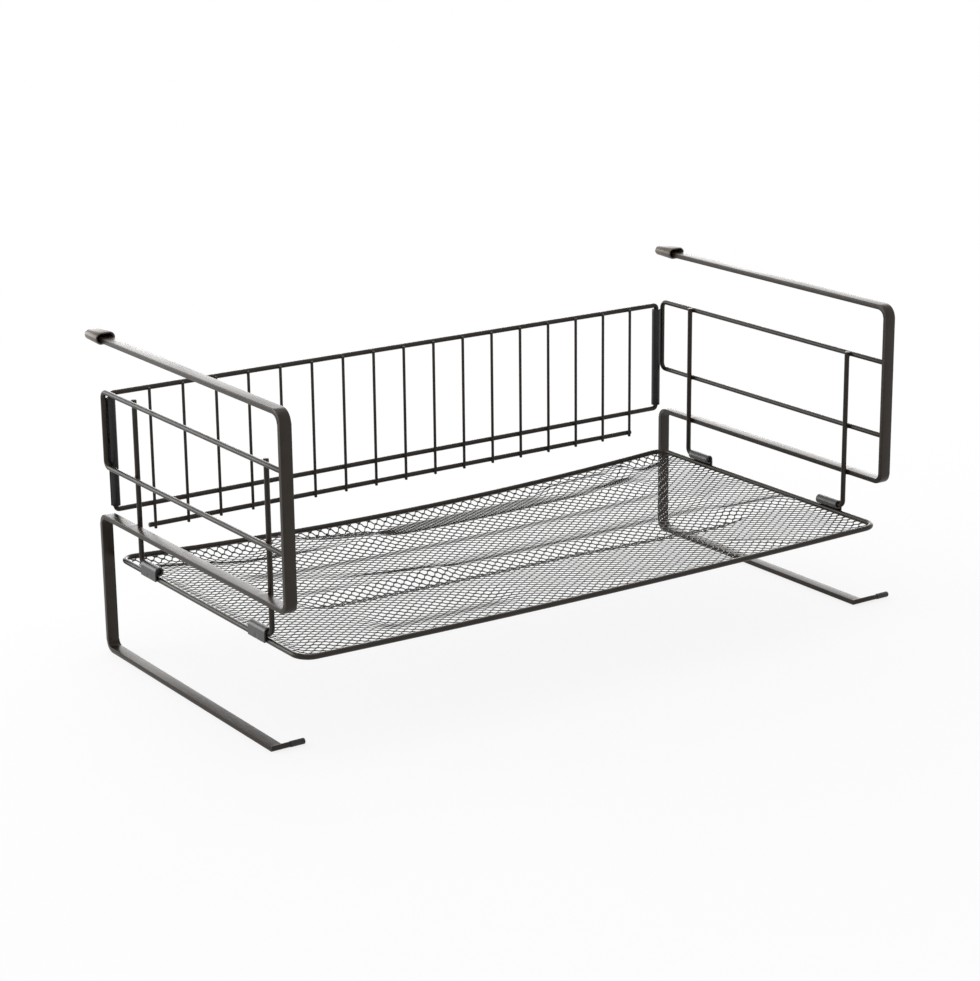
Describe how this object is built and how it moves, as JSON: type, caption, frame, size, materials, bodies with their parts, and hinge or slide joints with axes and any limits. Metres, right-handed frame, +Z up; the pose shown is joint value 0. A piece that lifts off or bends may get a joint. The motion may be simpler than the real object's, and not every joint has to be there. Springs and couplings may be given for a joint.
{
  "type": "under-shelf basket",
  "caption": "Dark coated wire under-shelf basket: expanded-mesh tray, folding side frames with shelf arms and lower peg arms, and a slatted back panel in hinge sleeves.",
  "frame": {"origin": "bottom centre of the whole basket's box, on the plane that the two bottom arms stand on", "axes": "+X runs along the tray from the left side frame to the right one, +Y points to the back panel, +Z is up"},
  "size_m": [0.4414, 0.2232, 0.1942],
  "materials": {
    "coated_wire": "gloss",
    "coated_strip": "gloss",
    "coated_sheet": "satin",
    "coated_mesh": "satin",
    "arm_cap": "gloss",
    "peg_tip": "matte"
  },
  "bodies": {
    "tray": {"tray_rim": "coated_wire", "tray_mesh": "coated_mesh", "clip_left_front": "coated_sheet", "clip_left_rear": "coated_sheet", "clip_right_front": "coated_sheet", "clip_right_rear": "coated_sheet"},
    "left_side": {"left_strip": "coated_strip", "left_rail": "coated_wire", "left_front_upright": "coated_wire", "left_rear_upright": "coated_wire", "left_arm_cap": "arm_cap", "left_peg": "coated_wire", "left_peg_tip": "peg_tip", "left_sleeve": "coated_sheet"},
    "right_side": {"right_strip": "coated_strip", "right_rail": "coated_wire", "right_front_upright": "coated_wire", "right_rear_upright": "coated_wire", "right_arm_cap": "arm_cap", "right_peg": "coated_wire", "right_peg_tip": "peg_tip"},
    "back_panel": {"back_frame": "coated_wire", "back_bottom_rail": "coated_wire", "right_sleeve": "coated_sheet", "back_slat_01": "coated_wire", "back_slat_02": "coated_wire", "back_slat_03": "coated_wire", "back_slat_04": "coated_wire", "back_slat_05": "coated_wire", "back_slat_06": "coated_wire", "back_slat_07": "coated_wire", "back_slat_08": "coated_wire", "back_slat_09": "coated_wire", "back_slat_10": "coated_wire", "back_slat_11": "coated_wire", "back_slat_12": "coated_wire", "back_slat_13": "coated_wire", "back_slat_14": "coated_wire", "back_slat_15": "coated_wire", "back_slat_16": "coated_wire", "back_slat_17": "coated_wire"}
  },
  "joints": [
    {"name": "left_fold", "type": "hinge", "parent": "tray", "child": "left_side", "pos_m": [-0.2093, -0.00428, 0.0615], "axis": [0, 1, 0], "range_deg": [0, 90]},
    {"name": "right_fold", "type": "hinge", "parent": "tray", "child": "right_side", "pos_m": [0.1907, -0.00428, 0.0615], "axis": [0, 1, 0], "range_deg": [-90, 0]},
    {"name": "panel_swing", "type": "hinge", "parent": "left_side", "child": "back_panel", "pos_m": [-0.208, 0.10602, 0.12015], "axis": [0, 0, 1], "range_deg": [0, 90]}
  ],
  "couplings": [
    {"joint": "right_fold", "follows": "left_fold", "ratio": -1},
    {"joint": "panel_swing", "follows": "left_fold", "ratio": 1}
  ]
}
